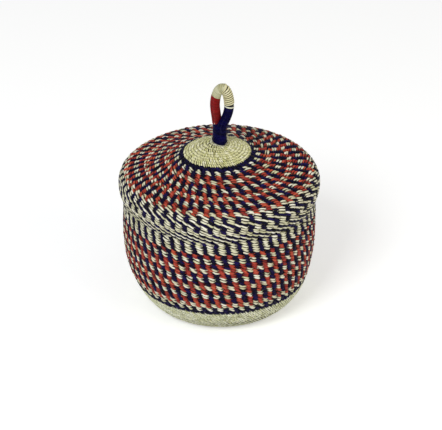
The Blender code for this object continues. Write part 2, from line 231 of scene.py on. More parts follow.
def basket_profile():
    """From the floor's middle out, up the wall, in over the ledge and up the neck."""
    floor = [(radius, 0.0) for radius in np.linspace(0.0, FLOOR_RADIUS, 60)]
    height_power, radius_power = BELLY_POWERS
    turn = np.linspace(0.0, math.pi / 2, 160, endpoint=False)[1:]
    rise = 1 - np.cos(turn) ** (2 / height_power)
    spread = np.sin(turn) ** (2 / radius_power)
    belly = np.stack([FLOOR_RADIUS + (BELLY_RADIUS - FLOOR_RADIUS) * spread, BELLY_HEIGHT * rise], -1)
    corner, fillet = 1.6, 0.8
    part = np.linspace(0.0, 1.0, 60)
    top = LEDGE_HEIGHT - corner
    radii = BELLY_RADIUS + (SHOULDER_RADIUS - BELLY_RADIUS) * part**2
    wall = np.stack([radii, BELLY_HEIGHT + (top - BELLY_HEIGHT) * part], -1)
    bend = np.linspace(0.0, math.pi / 2, 8)
    sweep, lift = np.sin(bend), 1 - np.cos(bend)
    over = np.stack([SHOULDER_RADIUS - corner * lift, top + corner * sweep], -1)
    inner = np.stack([NECK_RADIUS + fillet * (1 - sweep), LEDGE_HEIGHT + fillet * lift], -1)
    neck = [(NECK_RADIUS, height) for height in np.linspace(LEDGE_HEIGHT + fillet, RIM_TOP, 30)]
    return Profile(np.vstack([floor, belly, wall, over, inner, neck[1:]]), 1)


def lid_profile():
    """From the crown's middle out and down to the edge."""
    points = [(radius * LID_RADIUS, WIDEST_HEIGHT + rise * LID_DOME) for radius, rise in DOME_SHARES]
    for inset, drop in SKIRT_SHARES:
        points.append((LID_RADIUS - inset * LID_OVERHANG, WIDEST_HEIGHT - drop * LID_SKIRT))
    return Profile(smooth_curve(points, 24), -1)


def loop_line():
    """The rod's middle, from the left leg's foot over the bow to the right leg's foot."""

    def leg(shares):
        return [
            (LOOP_LEAN + across * BOW_RADIUS, before * LEG_STAGGER, STEM_TOP + rise * LEG_RISE)
            for across, before, rise in shares
        ]

    foot = BOW_TOP - BOW_RISE
    bow = [
        (BOW_MIDDLE - math.cos(turn) * BOW_HALF, 0.0, foot + math.sin(turn) * BOW_RISE)
        for turn in np.linspace(0.0, math.pi, 13)
    ]
    line = Line(smooth_curve(leg(LEFT_LEG_SHARES) + bow + leg(RIGHT_LEG_SHARES), 8))
    points = line.at(np.linspace(0.0, line.length, LOOP_POINTS))
    for _ in range(LOOP_PASSES):
        points[1:-1] = (points[:-2] + 2 * points[1:-1] + points[2:]) / 4
    return Line(points)


BASKET = basket_profile()
LID = lid_profile()
LOOP = loop_line()


class Stem:
    """The oval outline of the two legs' feet bound side by side."""

    left, right = LOOP.points[0][:2], LOOP.points[-1][:2]
    middle = (left + right) / 2
    turn = math.atan2(*(right - left)[::-1])
    long = np.linalg.norm(right - left) / 2 + LEG_RADIUS
    short = STEM_SHORT
    mean = (long + short) / 2
    heading = (math.cos(turn), math.sin(turn))

    @classmethod
    def at(cls, along, over):
        """A place on the lid, counted along the oval's long axis and over it."""
        cos, sin = cls.heading
        return np.stack([cls.middle[0] + along * cos - over * sin, cls.middle[1] + along * sin + over * cos], -1)

    @classmethod
    def outline(cls, angle, extra=0.0):
        """Points of the oval, grown by extra, at angles counted from its long axis."""
        return cls.at((cls.long + extra) * np.cos(angle), (cls.short + extra) * np.sin(angle))

    @classmethod
    def reach(cls, theta):
        """How far the oval stands from the lid's axis in a direction."""
        points = cls.outline(np.linspace(0.0, TAU, 241))
        angles = np.arctan2(points[:, 1], points[:, 0])
        order = np.argsort(angles)
        return np.interp(theta, angles[order], np.linalg.norm(points, axis=1)[order], period=TAU)


FIBRE_STEP, FIBRE_CYCLE = 700.0, 97  # so that neighbouring strands read the fibres' pattern at other places


class Strand:
    """Rings of points along one strand, with what its material reads.

    fibre runs along the strand and across its section in millimetres. stitch holds a tone and a hue of
    -1 to 1, one value a stitch, with painted light between them: 1 where the strand lies open, 0 where it is
    painted in full shade, in a crease and towards the edges of its section.
    """

    count = 0

    def __init__(
        self, middles, wide, thick, half_width, half_height, sides, tone=0.0, lit=1.0, hue=0.0, closed=False
    ):
        angle = TAU * np.arange(sides) / sides
        across, out = np.cos(angle), np.sin(angle)

        def each(values):
            return np.broadcast_to(values, len(middles))[:, None] * np.ones(sides)

        side_offset, out_offset = each(half_width) * across, each(half_height) * out
        self.rings = middles[:, None] + wide[:, None] * side_offset[..., None]
        self.rings = self.rings + thick[:, None] * out_offset[..., None]
        gaps = np.linalg.norm(np.diff(middles, axis=0), axis=1)
        along = np.concatenate(([0.0], np.cumsum(gaps))) + FIBRE_STEP * (Strand.count % FIBRE_CYCLE)
        Strand.count += 1
        self.fibre = np.stack([each(along), side_offset, out_offset], -1)
        # Painted shade: the light falls off towards the edges of each section
        self.stitch = np.stack([each(tone), each(lit) * np.abs(out) ** 0.8, each(hue)], -1)
        self.closed = closed

    @property
    def triangles(self):
        rings, sides = self.rings.shape[:2]
        return 2 * sides * (rings if self.closed else rings - 1) + (0 if self.closed else 2 * (sides - 2))


def mesh_of(name, strands):
    """One mesh of all the strands. The ends of those that aren't closed are capped."""
    points, fibres, stitches, corners, sizes = [], [], [], [], []
    base = 0
    for strand in strands:
        rings, sides = strand.rings.shape[:2]
        index = base + np.arange(rings * sides).reshape(rings, sides)
        below = index if strand.closed else index[:-1]
        above = np.roll(index, -1, axis=0) if strand.closed else index[1:]
        quads = np.stack([below, np.roll(below, -1, axis=1), np.roll(above, -1, axis=1), above], -1)
        corners.append(quads.ravel())
        sizes.append(np.full(quads.size // 4, 4))
        if not strand.closed:
            corners += [index[0, ::-1], index[-1]]
            sizes.append(np.array([sides, sides]))
        points.append(strand.rings.reshape(-1, 3))
        fibres.append(strand.fibre.reshape(-1, 3))
        stitches.append(strand.stitch.reshape(-1, 3))
        base += rings * sides
    corners, sizes = np.concatenate(corners), np.concatenate(sizes)
    mesh = bpy.data.meshes.new(name)
    mesh.vertices.add(base)
    mesh.vertices.foreach_set("co", (np.concatenate(points) * MM).astype(np.float32).ravel())
    mesh.loops.add(len(corners))
    mesh.loops.foreach_set("vertex_index", corners.astype(np.int32))
    mesh.polygons.add(len(sizes))
    starts = np.concatenate(([0], np.cumsum(sizes)[:-1]))
    mesh.polygons.foreach_set("loop_start", starts.astype(np.int32))
    mesh.update(calc_edges=True)
    mesh.shade_smooth()
    for label, values in (("fibre", fibres), ("stitch", stitches)):
        layer = mesh.attributes.new(label, "FLOAT_VECTOR", "POINT")
        layer.data.foreach_set("vector", np.concatenate(values).astype(np.float32).ravel())
    return mesh


FOOT_SHIFT, FOOT_TOP, FOOT_DEPTH = 2.2, 72.0, 50.0  # to the right, from this height down, over this depth
LEAST_HEIGHT = 0.06  # over the ground
BACK_LIFT, BACK_WAY = 4.8, (0.51, 0.86)
BACK_SHARES = ((50.0, 0.0), (66.0, 0.35), (90.0, 0.95), (112.0, 1.0), (128.0, 0.3), (136.0, 0.0))  # by radius


def askew(rings, body):
    """Hand work isn't quite round: the basket's foot stands to the right, and the lid is full at the back."""
    if body == "basket":
        part = np.clip((FOOT_TOP - rings[..., 2]) / FOOT_DEPTH, 0.0, 1.0)
        rings[..., 0] += FOOT_SHIFT * part * part * (3 - 2 * part)
        rings[..., 2] = np.maximum(rings[..., 2], LEAST_HEIGHT)
    else:
        radius = np.hypot(rings[..., 0], rings[..., 1])
        behind = rings[..., 1] * BACK_WAY[1] + rings[..., 0] * BACK_WAY[0]
        back = np.clip(behind / np.maximum(radius, 1.0), 0.0, 1.0)
        rings[..., 2] += BACK_LIFT * np.interp(radius, *zip(*BACK_SHARES)) * back**1.5


def add_piece(name, strands, look, body, nodes):
    """Strands as one piece, or as several where there are too many for one."""
    material, slot = look
    for strand in strands:
        askew(strand.rings, body)
    groups, room = [[]], MOST_TRIANGLES
    for strand in strands:
        if strand.triangles > room and groups[-1]:
            groups.append([])
            room = MOST_TRIANGLES
        groups[-1].append(strand)
        room -= strand.triangles
    for number, group in enumerate(groups, 1):
        label = name if len(groups) == 1 else f"{name}_{number}"
        piece = bpy.data.objects.new(label, mesh_of(label, group))
        bpy.context.scene.collection.objects.link(piece)
        piece.data.materials.append(material)
        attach(piece, body)
        if nodes:
            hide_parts(*nodes)


SKIN = 0.05  # left free between a strand that is in front and the wall's outside
CROSSING_LIGHT = 0.2  # painted light left on a strand where it crosses its twin, so that it is painted in shade there


class Gauge:
    """How one kind of weave lies, in millimetres, and how finely it is drawn."""

    def __init__(self, reach, slant, half_width, pinch, half_height, samples, sides, jitter=1.0, dive=0.9):
        self.reach = reach  # of a strand before and behind the middle of the wall
        self.slant = slant  # of a strand above the row's middle where it comes forwards
        self.half_width = half_width
        self.pinch = pinch  # half width where it crosses
        self.half_height = half_height
        self.samples = samples  # a column
        self.sides = sides
        self.jitter = jitter  # how much its stitches stray
        self.dive = dive  # less keeps a strand in front for longer before it crosses
        self.depth = reach + half_height + SKIN  # of the wall's middle under its outside


COARSE = Gauge(1.55, 1.25, 1.66, 1.10, 0.76, 6, 8, 1.7)
BROAD = Gauge(1.50, 1.45, 1.40, 1.00, 0.72, 6, 8, 1.5)
LINED = Gauge(1.50, 1.72, 1.50, 1.35, 0.72, 8, 8, dive=0.5)
KNOTTED = Gauge(1.66, 1.30, 1.66, 1.05, 0.76, 6, 8, 1.9)
FINE = Gauge(1.20, 2.00, 1.34, 0.85, 0.70, 6, 6, 1.2)
STAKE_DEPTH = 2.35  # of the stakes' middles under the wall's outside
STAKE_FILL = 0.62  # of a column
STAKE_STEP, STAKE_HALF, STAKE_LIGHT = 3.5, 0.6, 0.05  # between its rings, of its thickness, and the painted light on it: so little that the stakes are painted in shade


class Columns:
    """Where the stakes of a zone stand, in degrees right of the front at lengths along the profile."""

    def __init__(self, count, stops, degrees, crowd=0.0):
        self.count = count
        self.stops = stops
        self.turns = np.radians(degrees)
        self.crowd = crowd  # how much closer they stand on the left, and further apart on the right

    def theta(self, column, along):
        turn = np.interp(along, self.stops, self.turns) + TAU * column / self.count
        return FRONT + turn + self.crowd * (1 - np.cos(turn))


WAVES = ((2, 0.5), (3, 0.4), (5, 0.35), (9, 0.2), (14, 0.14))  # how many go round the wall, and their weight
SWAY, SWAY_SEED = 0.006, 3.0  # of the stakes to the side, in radians
DRIFT, DRIFT_SEED = 0.55, 1.0  # of the rows along the wall
# How far one stitch strays at a jitter of 1: of a column, in millimetres along the wall, of its reach, of its width
ASIDE, ALONG, DEEPER, WIDER = 0.09, 0.15, 0.08, 0.06
TONE_SPREAD = 0.5


def wander(theta, along, size, seed):
    """A slow drift round and up the wall, shared by neighbouring rows, so that they stay apart."""
    total = np.zeros_like(theta)
    for wave, (turns, weight) in enumerate(WAVES):
        phase = seed * 1.7 + wave * 2.3
        total += weight * np.sin(turns * theta + phase + along * (0.011 + 0.006 * wave))
    return size * total


def twined_row(profile, along, columns, gauge, skew=0.0, bend=None, widths=(1.0, 1.0), shift=0.0):
    """The two strands of a row. The first lies in front at the even columns.

    skew widens the even columns and narrows the odd ones. bend moves the row along the profile. A shift of
    half a column in every second row twines over the other half of each pair of stakes.
    """
    count = columns.count
    column = np.arange(count * gauge.samples) / gauge.samples
    strands = []
    for ply in range(2):
        turned = (column + ply) / 2
        cycle = np.floor(turned + 0.5).astype(int) % (count // 2)
        swing, rise = np.cos(TAU * turned), -np.sin(TAU * turned)
        strays = RNG.normal(0.0, gauge.jitter, (4, count))
        ahead, deeper, wider, aside = (
            np.interp(column, np.arange(count + 1), np.append(stray, stray[0])) for stray in strays
        )
        theta = columns.theta(column + shift + skew / math.pi * np.sin(math.pi * column), along)
        theta = theta + wander(theta, along, SWAY, SWAY_SEED) + aside * ASIDE * TAU / count
        here = along + wander(theta, along, DRIFT, DRIFT_SEED) + ahead * ALONG
        if bend:
            here = here + bend(theta)
        up, out = profile.axes(here)
        reach = gauge.reach * blunt(swing, gauge.dive) * (1 + DEEPER * deeper)
        flat = profile.at(here) + out * (reach - gauge.depth)[:, None] + up * (gauge.slant * rise)[:, None]
        ray = rays(theta)
        middles = swept(ray, flat)
        heading = heading_round(middles)
        wide = square_to(heading, swept(ray, up))
        front = np.abs(swing)
        half_width = gauge.pinch + (gauge.half_width - gauge.pinch) * front
        half_width = half_width * widths[ply] * (1 + WIDER * wider)
        tone, hue = np.clip(RNG.normal(0.0, TONE_SPREAD, (2, count // 2)), -1, 1)[:, cycle]
        # Painted shade where the strand swings behind the stakes and crosses its twin
        lit = np.minimum(1.0, CROSSING_LIGHT + 1.2 * front)
        thick = np.cross(heading, wide)
        size = (half_width, gauge.half_height, gauge.sides)
        strands.append(Strand(middles, wide, thick, *size, tone, lit, hue, closed=True))
    return strands


def stakes(profile, start, end, columns):
    """The flat upright stakes that the rows are twined round."""
    along = np.linspace(start, end, max(4, round((end - start) / STAKE_STEP)))
    out = profile.axes(along)[1]
    flat = profile.at(along) - out * STAKE_DEPTH
    made = []
    half_width = STAKE_FILL * math.pi * flat[:, 0] / columns.count
    for column in range(columns.count):
        theta = columns.theta(column, along)
        ray = rays(theta + wander(theta, along, SWAY, SWAY_SEED))
        middles = swept(ray, flat)
        heading = heading_along(middles)
        thick = square_to(heading, swept(ray, out))
        wide = np.cross(thick, heading)
        tone = RNG.normal(0.0, 0.4)
        # The stakes get almost no painted light, so they show as painted shade in the gaps between rows
        made.append(Strand(middles, wide, thick, half_width, STAKE_HALF, 6, tone, STAKE_LIGHT))
    return made


def rod(middles, near_thick, radius, sides, tone):
    """A round strand along a run of points."""
    heading = heading_along(middles)
    thick = square_to(heading, near_thick)
    return Strand(middles, np.cross(thick, heading), thick, radius, radius, sides, tone)


def linear(colour):
    """An sRGB colour of 0 to 255 as the shader takes it."""
    parts = [part / 255 for part in colour]
    return (*(part / 12.92 if part <= 0.04045 else ((part + 0.055) / 1.055) ** 2.4 for part in parts), 1.0)


def straw(name, dark, middle, light, stain, roughness, crease=0.26, bump=0.35, spread=0.5, sheen=0.4):
    """Dyed or plain split straw: streaks along the fibres, one tone a stitch, a slow stain, and painted shade, as
    dark as crease, where the strand is less lit.
    """
    made = bpy.data.materials.new(name)
    made.use_nodes = True
    made.diffuse_color = linear(middle)
    nodes, links = made.node_tree.nodes, made.node_tree.links
    shader = nodes["Principled BSDF"]
    shader.inputs["Specular IOR Level"].default_value = sheen

    def attribute(label):
        node = nodes.new("ShaderNodeAttribute")
        node.attribute_name = label
        return node.outputs["Vector"]

    def noise(detail, stretch):
        mapping = nodes.new("ShaderNodeMapping")
        mapping.inputs["Scale"].default_value = stretch
        links.new(fibre, mapping.inputs["Vector"])
        texture = nodes.new("ShaderNodeTexNoise")
        texture.inputs["Scale"].default_value = 1.0
        texture.inputs["Detail"].default_value = detail
        links.new(mapping.outputs["Vector"], texture.inputs["Vector"])
        return texture.outputs["Fac"]

    def add_up(value, factor, more):
        node = nodes.new("ShaderNodeMath")
        node.operation = "MULTIPLY_ADD"
        for socket, given in zip(node.inputs, (value, factor, more)):
            if isinstance(given, (int, float)):
                socket.default_value = given
            else:
                links.new(given, socket)
        return node.outputs[0]

    def ranged(value, source, target):
        node = nodes.new("ShaderNodeMapRange")
        for label, number in zip(("From Min", "From Max", "To Min", "To Max"), (*source, *target)):
            node.inputs[label].default_value = number
        links.new(value, node.inputs["Value"])
        return node.outputs["Result"]

    def mixed(kind, factor, under, colour):
        node = nodes.new("ShaderNodeMix")
        node.data_type = "RGBA"
        node.blend_type = kind
        links.new(factor, node.inputs["Factor"])
        links.new(under, node.inputs["A"])
        node.inputs["B"].default_value = colour
        return node.outputs["Result"]

    fibre = attribute("fibre")
    parts = nodes.new("ShaderNodeSeparateXYZ")
    links.new(attribute("stitch"), parts.inputs[0])
    tone, lit, hue = (parts.outputs[axis] for axis in "XYZ")
    streak = noise(3.0, (0.12, 3.2, 1.6))
    fine_streak = noise(2.0, (0.45, 9.0, 5.0))
    slow = noise(2.0, (0.035, 0.1, 0.1))

    ramp = nodes.new("ShaderNodeValToRGB")
    stops = ramp.color_ramp.elements
    stops[0].position, stops[0].color = 0.12, linear(dark)
    stops[1].position, stops[1].color = 0.88, linear(light)
    stops.new(0.5).color = linear(middle)
    share = add_up(streak, 1.1, add_up(tone, spread * 0.5, -0.2))
    links.new(add_up(fine_streak, 0.3, share), ramp.inputs["Fac"])
    amount = ranged(add_up(hue, 0.16, slow), (0.5, 0.72), (0.0, 0.8))
    colour = mixed("MIX", amount, ramp.outputs["Color"], linear(stain))

    # Painted shade: strands darken where they dip between their neighbours and towards the edges of their sections
    shade = (crease, crease * 0.9, crease * 0.85, 1.0)
    colour = mixed("MULTIPLY", ranged(lit, (0.05, 0.72), (1.0, 0.0)), colour, shade)
    links.new(colour, shader.inputs["Base Color"])
    links.new(ranged(fine_streak, (0.0, 1.0), (roughness - 0.1, roughness + 0.12)), shader.inputs["Roughness"])
    raised = nodes.new("ShaderNodeBump")
    raised.inputs["Strength"].default_value = bump
    raised.inputs["Distance"].default_value = 0.25 * MM
    links.new(add_up(fine_streak, 0.5, streak), raised.inputs["Height"])
    links.new(raised.outputs["Normal"], shader.inputs["Normal"])
    return made


CREAM = (
    straw("cream straw", (174, 168, 130), (232, 227, 198), (254, 250, 238), (212, 210, 160), 0.5, 0.24),
    "cream_straw",
)
NATURAL = (
    straw(
        "natural straw", (178, 174, 116), (232, 228, 174), (252, 248, 218), (208, 208, 124), 0.55, 0.2, spread=0.8
    ),
    "natural_straw",
)
PALE = (
    straw("pale straw", (188, 190, 148), (232, 233, 202), (250, 250, 230), (212, 212, 146), 0.55, 0.14, spread=1.0),
    "natural_straw",
)
NAVY = (
    straw("navy straw", (2, 1, 12), (9, 3, 46), (34, 19, 94), (4, 3, 12), 0.42, 0.22, sheen=0.12),
    "navy_straw",
)
RED = (
    straw("red straw", (80, 12, 16), (162, 40, 30), (214, 98, 70), (206, 90, 54), 0.48, 0.1, sheen=0.3),
    "crimson_straw",
)
CRIMSON = (
    straw("crimson wrap", (88, 6, 8), (136, 10, 12), (168, 26, 22), (108, 8, 10), 0.42, 0.5, sheen=0.2),
    "crimson_straw",
)
NAVY_WRAP = (
    straw(
        "navy wrap", (1, 0, 14), (5, 3, 56), (20, 16, 108), (2, 1, 24), 0.24, 0.2, bump=0.5, spread=0.2, sheen=0.08
    ),
    "navy_straw",
)
BLACK = (straw("dark straw", (3, 3, 6), (7, 6, 12), (18, 16, 28), (6, 6, 8), 0.45), "navy_straw")
# Brighter than the cream straw: the thin band's white is partly its straw and partly a painted highlight
WHITE = (
    straw("white straw", (196, 196, 172), (236, 236, 218), (252, 250, 240), (214, 214, 190), 0.5, 0.5),
    "cream_straw",
)
FINE_CREAM = (
    straw("fine cream wrap", (150, 148, 112), (204, 203, 166), (224, 220, 192), (176, 170, 118), 0.5, 0.5),
    "cream_straw",
)
COARSE_CREAM = (
    straw("coarse cream wrap", (172, 163, 110), (228, 221, 176), (252, 248, 228), (208, 200, 138), 0.5, 0.24),
    "cream_straw",
)
# The core grass takes deep painted shade, so the stakes show dark between the rows
GRASS = (
    straw("core grass", (104, 90, 44), (142, 124, 68), (176, 158, 100), (120, 108, 58), 0.6, 0.12),
    "core_grass",
)
WOVEN = {  # a row's letters, with the word that its piece is named by
    "N": (NAVY, "navy"),
    "C": (CREAM, "cream"),
    "R": (RED, "red"),
    "G": (NATURAL, "natural"),
    "P": (PALE, "pale"),
}
BULK = {"N": 1.1, "C": 0.9}  # of a strand, by its colour


class Zone:
    """Rows of one band, sorted by colour, that become pieces for one CAD node."""

    def __init__(self, name, body, node):
        self.name, self.body, self.node = name, body, node
        self.strands = {}

    def add(self, colours, *row, **more):
        widths = [BULK.get(colour, 1.0) for colour in colours]
        for colour, strand in zip(colours, twined_row(*row, widths=widths, **more)):
            self.strands.setdefault(colour, []).append(strand)

    def build(self):
        for colour, strands in self.strands.items():
            look, word = WOVEN[colour]
            add_piece(f"{self.name}_{word}", strands, look, self.body, [self.node])


def rows_between(start, end, count):
    pitch = (end - start) / count
    return [start + pitch * (row + 0.5) for row in range(count)]


def count_at(along, tiers):
    """The stake count at a length. Each tier is the length where it ends, and its count."""
    return next(count for end, count in tiers if along < end)


FLOOR_TIERS = ((5.0, 8), (15.0, 24), (28.0, 44), (50.0, 88), (math.inf, 144))
FLOOR_ROWS, BASE_ROWS, NECK_ROWS = 23, 8, 4
FLOOR_START = 1.2
FLOOR_STOPS, FLOOR_TURNS = (0.0, 84.0), (0.0, -144.0)
FIRST_COLUMN = 2.5 - 10 / 3  # in degrees right of the front, at the stripes' foot
SIDE_TOP = BASKET.reaches(1, LEDGE_HEIGHT - STRIPE_BAND)
SIDE = Columns(108, (SIDE_TOP - 200.0, SIDE_TOP + 60.0), (FIRST_COLUMN + 18.34, FIRST_COLUMN - 5.5))
BASE_TURN = Columns(144, SIDE.stops, np.degrees(SIDE.turns))
BASE = Columns(216, SIDE.stops, np.degrees(SIDE.turns))
SIDE_SKEWS = {"CN": 0.12, "RC": -0.1, "RN": 0.0}
STRIPE_SKEW = -0.28
STRIPE_PITCH = 3.54
SIDE_ROWS = (  # a band's colours, and the lengths along the profile where its rows lie
    ("RN", (233.5, 230.3)),
    ("CN", (227.0, 223.2)),
    ("RN", (219.3, 215.6)),
    ("RC", (212.2, 208.7)),
    ("RN", (205.4, 202.2)),
    ("CN", (199.0, 195.5)),
    ("RN", (192.3, 189.2)),
    ("RC", (186.0, 182.5)),
    ("RN", (178.9, 175.2)),
    ("CN", (171.8, 168.4)),
    ("RN", (165.2, 162.0, 158.8)),
    ("RC", (155.4, 151.6)),
    ("CN", (147.9, 144.2)),
)
RING_ROWS = (140.9, 138.0)


def weave_basket():
    turn_top = BASKET.reaches(1, TURN_TOP)
    base_top = RING_ROWS[-1] - 1.5

    floor = Zone("floor_weave", "basket", "basket_floor")
    for number, along in enumerate(rows_between(FLOOR_START, FLOOR_RADIUS, FLOOR_ROWS)):
        columns = Columns(count_at(along, FLOOR_TIERS), FLOOR_STOPS, FLOOR_TURNS)
        floor.add("GG", BASKET, along, columns, FINE, shift=number % 2 / 2)
    floor.build()

    for name, node, start, end, columns in (
        ("base_turn_weave", "basket_base_turn", FLOOR_RADIUS, turn_top, BASE_TURN),
        ("base_weave", "basket_base_wall", turn_top, base_top, BASE),
    ):
        base = Zone(name, "basket", node)
        for number, along in enumerate(rows_between(start, end, BASE_ROWS)):
            base.add("PP", BASKET, along, columns, FINE, shift=number % 2 / 2)
        base.build()

    ring = Zone("base_ring", "basket", "basket_base_ring")
    for along in RING_ROWS:
        ring.add("NN", BASKET, along, SIDE, COARSE)
    ring.build()

    side = Zone("side_weave", "basket", "basket_side")
    for colours, arcs in SIDE_ROWS:
        for along in arcs:
            side.add(colours, BASKET, along, SIDE, COARSE, SIDE_SKEWS[colours])
    side.build()

    stripes = Zone("stripe_weave", "basket", "basket_stripe_band")
    along = SIDE_TOP + STRIPE_PITCH / 2
    neck_start = BASKET.reaches(1, LEDGE_HEIGHT + 1.0)
    while along < neck_start - 1.0:
        stripes.add("NC", BASKET, along, SIDE, COARSE, STRIPE_SKEW)
        along += STRIPE_PITCH
    stripes.build()

    neck = Zone("neck_weave", "basket", "basket_neck")
    neck_end = BASKET.reaches(1, NECK_TOP)
    for row in rows_between(along - STRIPE_PITCH / 2, neck_end, NECK_ROWS):
        neck.add("NC", BASKET, row, SIDE, COARSE, STRIPE_SKEW)
    neck.build()

    rim_middle = BASKET.reaches(1, (NECK_TOP + RIM_TOP) / 2)
    standing = stakes(BASKET, FLOOR_RADIUS * 0.6, turn_top, BASE_TURN)
    standing += stakes(BASKET, turn_top - 3.0, base_top, BASE)
    standing += stakes(BASKET, base_top - 2.0, rim_middle, SIDE)
    add_piece("wall_stakes", standing, GRASS, "basket", [])
    bind_rim()


def flipped(strand):
    """The same closed strand with its faces turned out."""
    strand.rings, strand.fibre, strand.stitch = (
        values[::-1] for values in (strand.rings, strand.fibre, strand.stitch)
    )
    return strand


def bind_rim():
    """Straw whipped round two rings of grass on top of the neck."""
    turns, steps = 200, 12
    half_wide, half_tall, corners = 2.3, 1.5, 0.8
    middle_radius, middle_height = NECK_RADIUS - 2.75, (NECK_TOP + RIM_TOP) / 2 + 0.1
    around = TAU * np.arange(turns * steps) / steps
    ray = level_rays(around / turns + wander(around / turns, 0.0, 0.004, 2.0))
    rise = np.array([0.0, 0.0, 1.0])
    across, over = blunt(np.cos(around), corners), blunt(np.sin(around), corners)
    out = unit(ray * across[:, None] + rise * over[:, None])
    middles = ray * (middle_radius + half_wide * across)[:, None]
    middles = middles + rise * (middle_height + half_tall * over)[:, None]
    heading = heading_round(middles)
    thick = square_to(heading, out)
    tones = np.repeat(RNG.normal(0.0, 0.4, turns), steps)
    wrap = Strand(middles, np.cross(thick, heading), thick, 1.75, 0.34, 6, tone=tones, hue=tones, closed=True)
    add_piece("rim_binding", [wrap], CREAM, "basket", ["basket_rim"])

    points, radius = 144, 1.1
    ray = level_rays(np.linspace(0.0, TAU, points, endpoint=False))
    upright = np.tile(rise, (points, 1))
    bundle = []
    for inset in (-radius, radius):
        ring = ray * (middle_radius + inset) + rise * middle_height
        # The core under the binding is painted in part shade
        bundle.append(flipped(Strand(ring, ray, upright, radius, radius, 6, lit=0.4, closed=True)))
    add_piece("rim_core", bundle, GRASS, "basket", [])


DISC_END, RING_END, CHECKS_END = 47.5, 53.9, 133.7  # along the lid's profile
CROWN_ROWS, LID_RING_ROWS, DOME_ROWS, EDGE_ROWS = 10, 2, 22, 12
UPPER_ROWS, MIDDLE_ROWS = 6, 12  # of the dome, down to where each tier of stakes ends
CROWN_CREAM_END = 13.0
CROWN_TIERS = ((15.0, 24), (25.0, 44), (math.inf, 88))
CROWN = Columns(88, (10.0, DISC_END), (-20.0, -4.5))
UPPER = Columns(50, (46.0, 57.0, 72.0, 84.0), (-5.6, -2.3, 1.8, 4.6), 0.13)
MIDDLE = Columns(74, (70.0, 77.0, 86.0, 96.0), (-7.7, -6.4, -4.7, -2.9), 0.14)
LOWER_STOPS = (90.0, 100.8, 115.6, 123.0, 130.0, 140.0, 153.0, 176.0)
LOWER = Columns(96, LOWER_STOPS, (-4.6, -3.0, -1.2, -0.2, 0.2, -0.4, -1.2, -2.2), 0.12)
DOME_SKEWS = {"CN": 0.1, "RC": -0.1, "RN": 0.0}
DOME_PAIRS = (  # of rows, from the top down
    (UPPER, ("CN", "RN", "RC")),
    (MIDDLE, ("RN", "CN", "RN")),
    (LOWER, ("RC", "RN", "CN", "RN", "RC")),
)
DISC_SHIFT = -2.6  # of the crown's disc to the left of the lid's middle
DISC_SHIFT_START, DISC_SHIFT_FADE = 24.0, 85.0  # it grows from the middle out, and fades from the ring out
HUG_START, HUG_FADE = 10.0, 22.0  # rows follow the stem up to here, and become round over this length


def lid_bend(along):
    """Rows close to the stem follow its oval, and the disc sits a little left of the lid's middle."""
    hug = max(0.0, 1 - (along - HUG_START) / HUG_FADE)
    fade = min(1.0, max(0.0, 1 - (along - RING_END) / DISC_SHIFT_FADE))
    shift = DISC_SHIFT * min(1.0, along / DISC_SHIFT_START) * fade
    return lambda theta: hug * (Stem.reach(theta) - Stem.mean) + shift * np.cos(theta)


def weave_lid():
    crown = Zone("crown_weave", "lid", "lid_crown")
    for number, along in enumerate(rows_between(Stem.mean, DISC_END, CROWN_ROWS)):
        columns = Columns(count_at(along, CROWN_TIERS), CROWN.stops, np.degrees(CROWN.turns))
        colours = "CC" if along < CROWN_CREAM_END else "GG"
        crown.add(colours, LID, along, columns, FINE, bend=lid_bend(along), shift=number % 2 / 2)
    crown.build()

    zones = [("ring", "lid_ring", ("NN", "NN"), UPPER, KNOTTED, 0.0)]
    for tier, pairs in DOME_PAIRS:
        zones += [("dome", "lid_dome", (pair, pair), tier, KNOTTED, DOME_SKEWS[pair]) for pair in pairs]
    zones += [
        ("shoulder", "lid_shoulder_band", ("CN", "CN", "CN"), LOWER, BROAD, 0.25),
        ("shoulder", "lid_shoulder_band", ("NC", "CN"), LOWER, LINED, 0.0),
        ("skirt", "lid_skirt_band", ("CN", "CN"), LOWER, BROAD, 0.2),
        ("skirt", "lid_skirt_band", ("CC",), LOWER, BROAD, 0.0),
        ("border", "lid_edge_border", ("NC", "CN", "NC", "CN"), LOWER, LINED, 0.0),
    ]
    arcs = rows_between(DISC_END, RING_END, LID_RING_ROWS) + rows_between(RING_END, CHECKS_END, DOME_ROWS)
    arcs = iter(arcs + rows_between(CHECKS_END, LID.length - 1.2, EDGE_ROWS))
    built = {}
    for name, node, rows, columns, gauge, skew in zones:
        zone = built.setdefault(name, Zone(f"{name}_weave", "lid", node))
        for colours in rows:
            along = next(arcs)
            zone.add(colours, LID, along, columns, gauge, skew, lid_bend(along))
    for zone in built.values():
        zone.build()

    standing = stakes(LID, 12.0, DISC_END, CROWN)
    row = (CHECKS_END - RING_END) / DOME_ROWS
    for start, end, columns in (
        (DISC_END - 3.0, RING_END + (UPPER_ROWS + 0.5) * row, UPPER),
        (RING_END + (UPPER_ROWS - 0.5) * row, RING_END + (MIDDLE_ROWS + 0.5) * row, MIDDLE),
        (RING_END + (MIDDLE_ROWS - 0.5) * row, LID.length - 1.0, LOWER),
    ):
        standing += stakes(LID, start, end, columns)
    add_piece("lid_stakes", standing, GRASS, "lid", [])


def frames_at(along):
    """Two directions square to the rod: to the inside of the loop, and across its plane."""
    heading = LOOP.heading(along)
    inwards = unit(np.cross(np.array([0.0, 1.0, 0.0]), heading))
    return inwards, np.cross(heading, inwards)


def round_rod(along, turn, radius):
    """Points round the rod, at angles counted from the inside of the loop, and the way out there."""
    inwards, across = frames_at(along)
    up = inwards * np.cos(turn)[:, None] + across * np.sin(turn)[:, None]
    return LOOP.at(along) + up * radius, up


